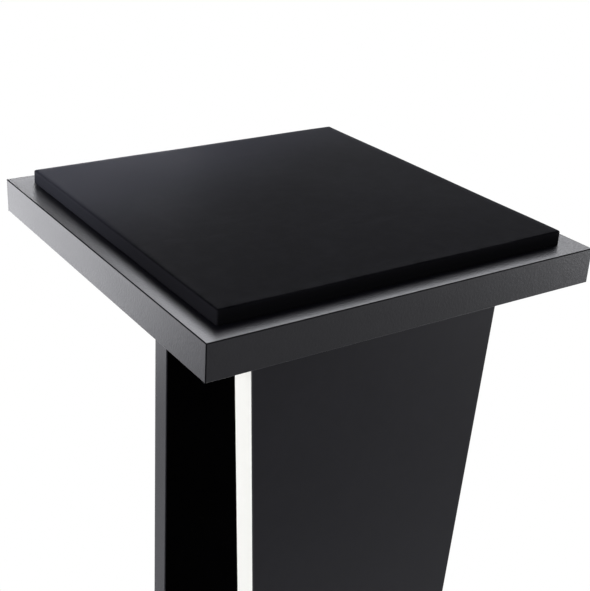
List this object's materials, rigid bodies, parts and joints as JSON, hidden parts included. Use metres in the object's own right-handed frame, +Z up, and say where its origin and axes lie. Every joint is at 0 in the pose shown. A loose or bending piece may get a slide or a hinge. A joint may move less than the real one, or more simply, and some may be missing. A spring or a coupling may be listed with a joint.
{
  "type": "speaker stand",
  "caption": "Floor stand for a loudspeaker: square top plate with a foam pad on a tapered front board and a narrow rear board, with a square base on screw feet.",
  "frame": {"origin": "on the floor under the middle of the base plate", "axes": "+Z up, the front board faces -Y, +X is to the right seen from the front"},
  "size_m": [0.3302, 0.3302, 0.914],
  "materials": {
    "black_laminate": "fine-textured satin black laminate on fibreboard",
    "black_band": "fine-textured satin black edge band",
    "white_band": "smooth white edge band",
    "foam": "matte closed-cell foam with cut edges",
    "adhesive": "adhesive film",
    "beech": "bare beech",
    "zinc_steel": "zinc plated",
    "black_nylon": "moulded, fine matte",
    "tread_rubber": "matte"
  },
  "bodies": {
    "stand": {"top_plate": "black_laminate", "front_board": "black_laminate", "rear_board": "black_laminate", "base_plate": "black_laminate", "top_band_front": "black_band", "top_band_right": "black_band", "top_band_rear": "black_band", "top_band_left": "black_band", "base_band_front": "black_band", "base_band_right": "black_band", "base_band_rear": "black_band", "base_band_left": "black_band", "rear_band_left": "black_band", "rear_band_right": "black_band", "front_band_left": "white_band", "front_band_right": "white_band", "isolation_pad": "foam", "pad_adhesive": "adhesive", "top_dowels": "beech", "base_dowels": "beech", "top_bolts": "zinc_steel", "base_bolts": "zinc_steel", "top_barrel_nuts": "zinc_steel", "base_barrel_nuts": "zinc_steel", "foot_inserts": "zinc_steel"},
    "foot_front_left": {"foot_glide_front_left": "black_nylon", "foot_tread_front_left": "tread_rubber"},
    "stud_front_left": {"foot_spindle_front_left": "zinc_steel", "foot_nut_front_left": "zinc_steel"},
    "foot_front_right": {"foot_glide_front_right": "black_nylon", "foot_tread_front_right": "tread_rubber"},
    "stud_front_right": {"foot_spindle_front_right": "zinc_steel", "foot_nut_front_right": "zinc_steel"},
    "foot_rear_left": {"foot_glide_rear_left": "black_nylon", "foot_tread_rear_left": "tread_rubber"},
    "stud_rear_left": {"foot_spindle_rear_left": "zinc_steel", "foot_nut_rear_left": "zinc_steel"},
    "foot_rear_right": {"foot_glide_rear_right": "black_nylon", "foot_tread_rear_right": "tread_rubber"},
    "stud_rear_right": {"foot_spindle_rear_right": "zinc_steel", "foot_nut_rear_right": "zinc_steel"}
  },
  "joints": [
    {"name": "foot_front_left_travel", "type": "slide", "parent": "stand", "child": "foot_front_left", "axis": [0, 0, -1], "range_m": [0, 0.0125]},
    {"name": "foot_front_left_turn", "type": "hinge", "parent": "foot_front_left", "child": "stud_front_left", "pos_m": [-0.1331, -0.1331, 0.012], "axis": [0, 0, -1], "range_deg": [0, 3420]},
    {"name": "foot_front_right_travel", "type": "slide", "parent": "stand", "child": "foot_front_right", "axis": [0, 0, -1], "range_m": [0, 0.0125]},
    {"name": "foot_front_right_turn", "type": "hinge", "parent": "foot_front_right", "child": "stud_front_right", "pos_m": [0.1331, -0.1331, 0.012], "axis": [0, 0, -1], "range_deg": [0, 3420]},
    {"name": "foot_rear_left_travel", "type": "slide", "parent": "stand", "child": "foot_rear_left", "axis": [0, 0, -1], "range_m": [0, 0.0125]},
    {"name": "foot_rear_left_turn", "type": "hinge", "parent": "foot_rear_left", "child": "stud_rear_left", "pos_m": [-0.1331, 0.1331, 0.012], "axis": [0, 0, -1], "range_deg": [0, 3420]},
    {"name": "foot_rear_right_travel", "type": "slide", "parent": "stand", "child": "foot_rear_right", "axis": [0, 0, -1], "range_m": [0, 0.0125]},
    {"name": "foot_rear_right_turn", "type": "hinge", "parent": "foot_rear_right", "child": "stud_rear_right", "pos_m": [0.1331, 0.1331, 0.012], "axis": [0, 0, -1], "range_deg": [0, 3420]}
  ],
  "couplings": [
    {"joint": "foot_front_left_travel", "follows": "foot_front_left_turn", "m_per_rad": 0.00019894},
    {"joint": "foot_front_right_travel", "follows": "foot_front_right_turn", "m_per_rad": 0.00019894},
    {"joint": "foot_rear_left_travel", "follows": "foot_rear_left_turn", "m_per_rad": 0.00019894},
    {"joint": "foot_rear_right_travel", "follows": "foot_rear_right_turn", "m_per_rad": 0.00019894}
  ]
}
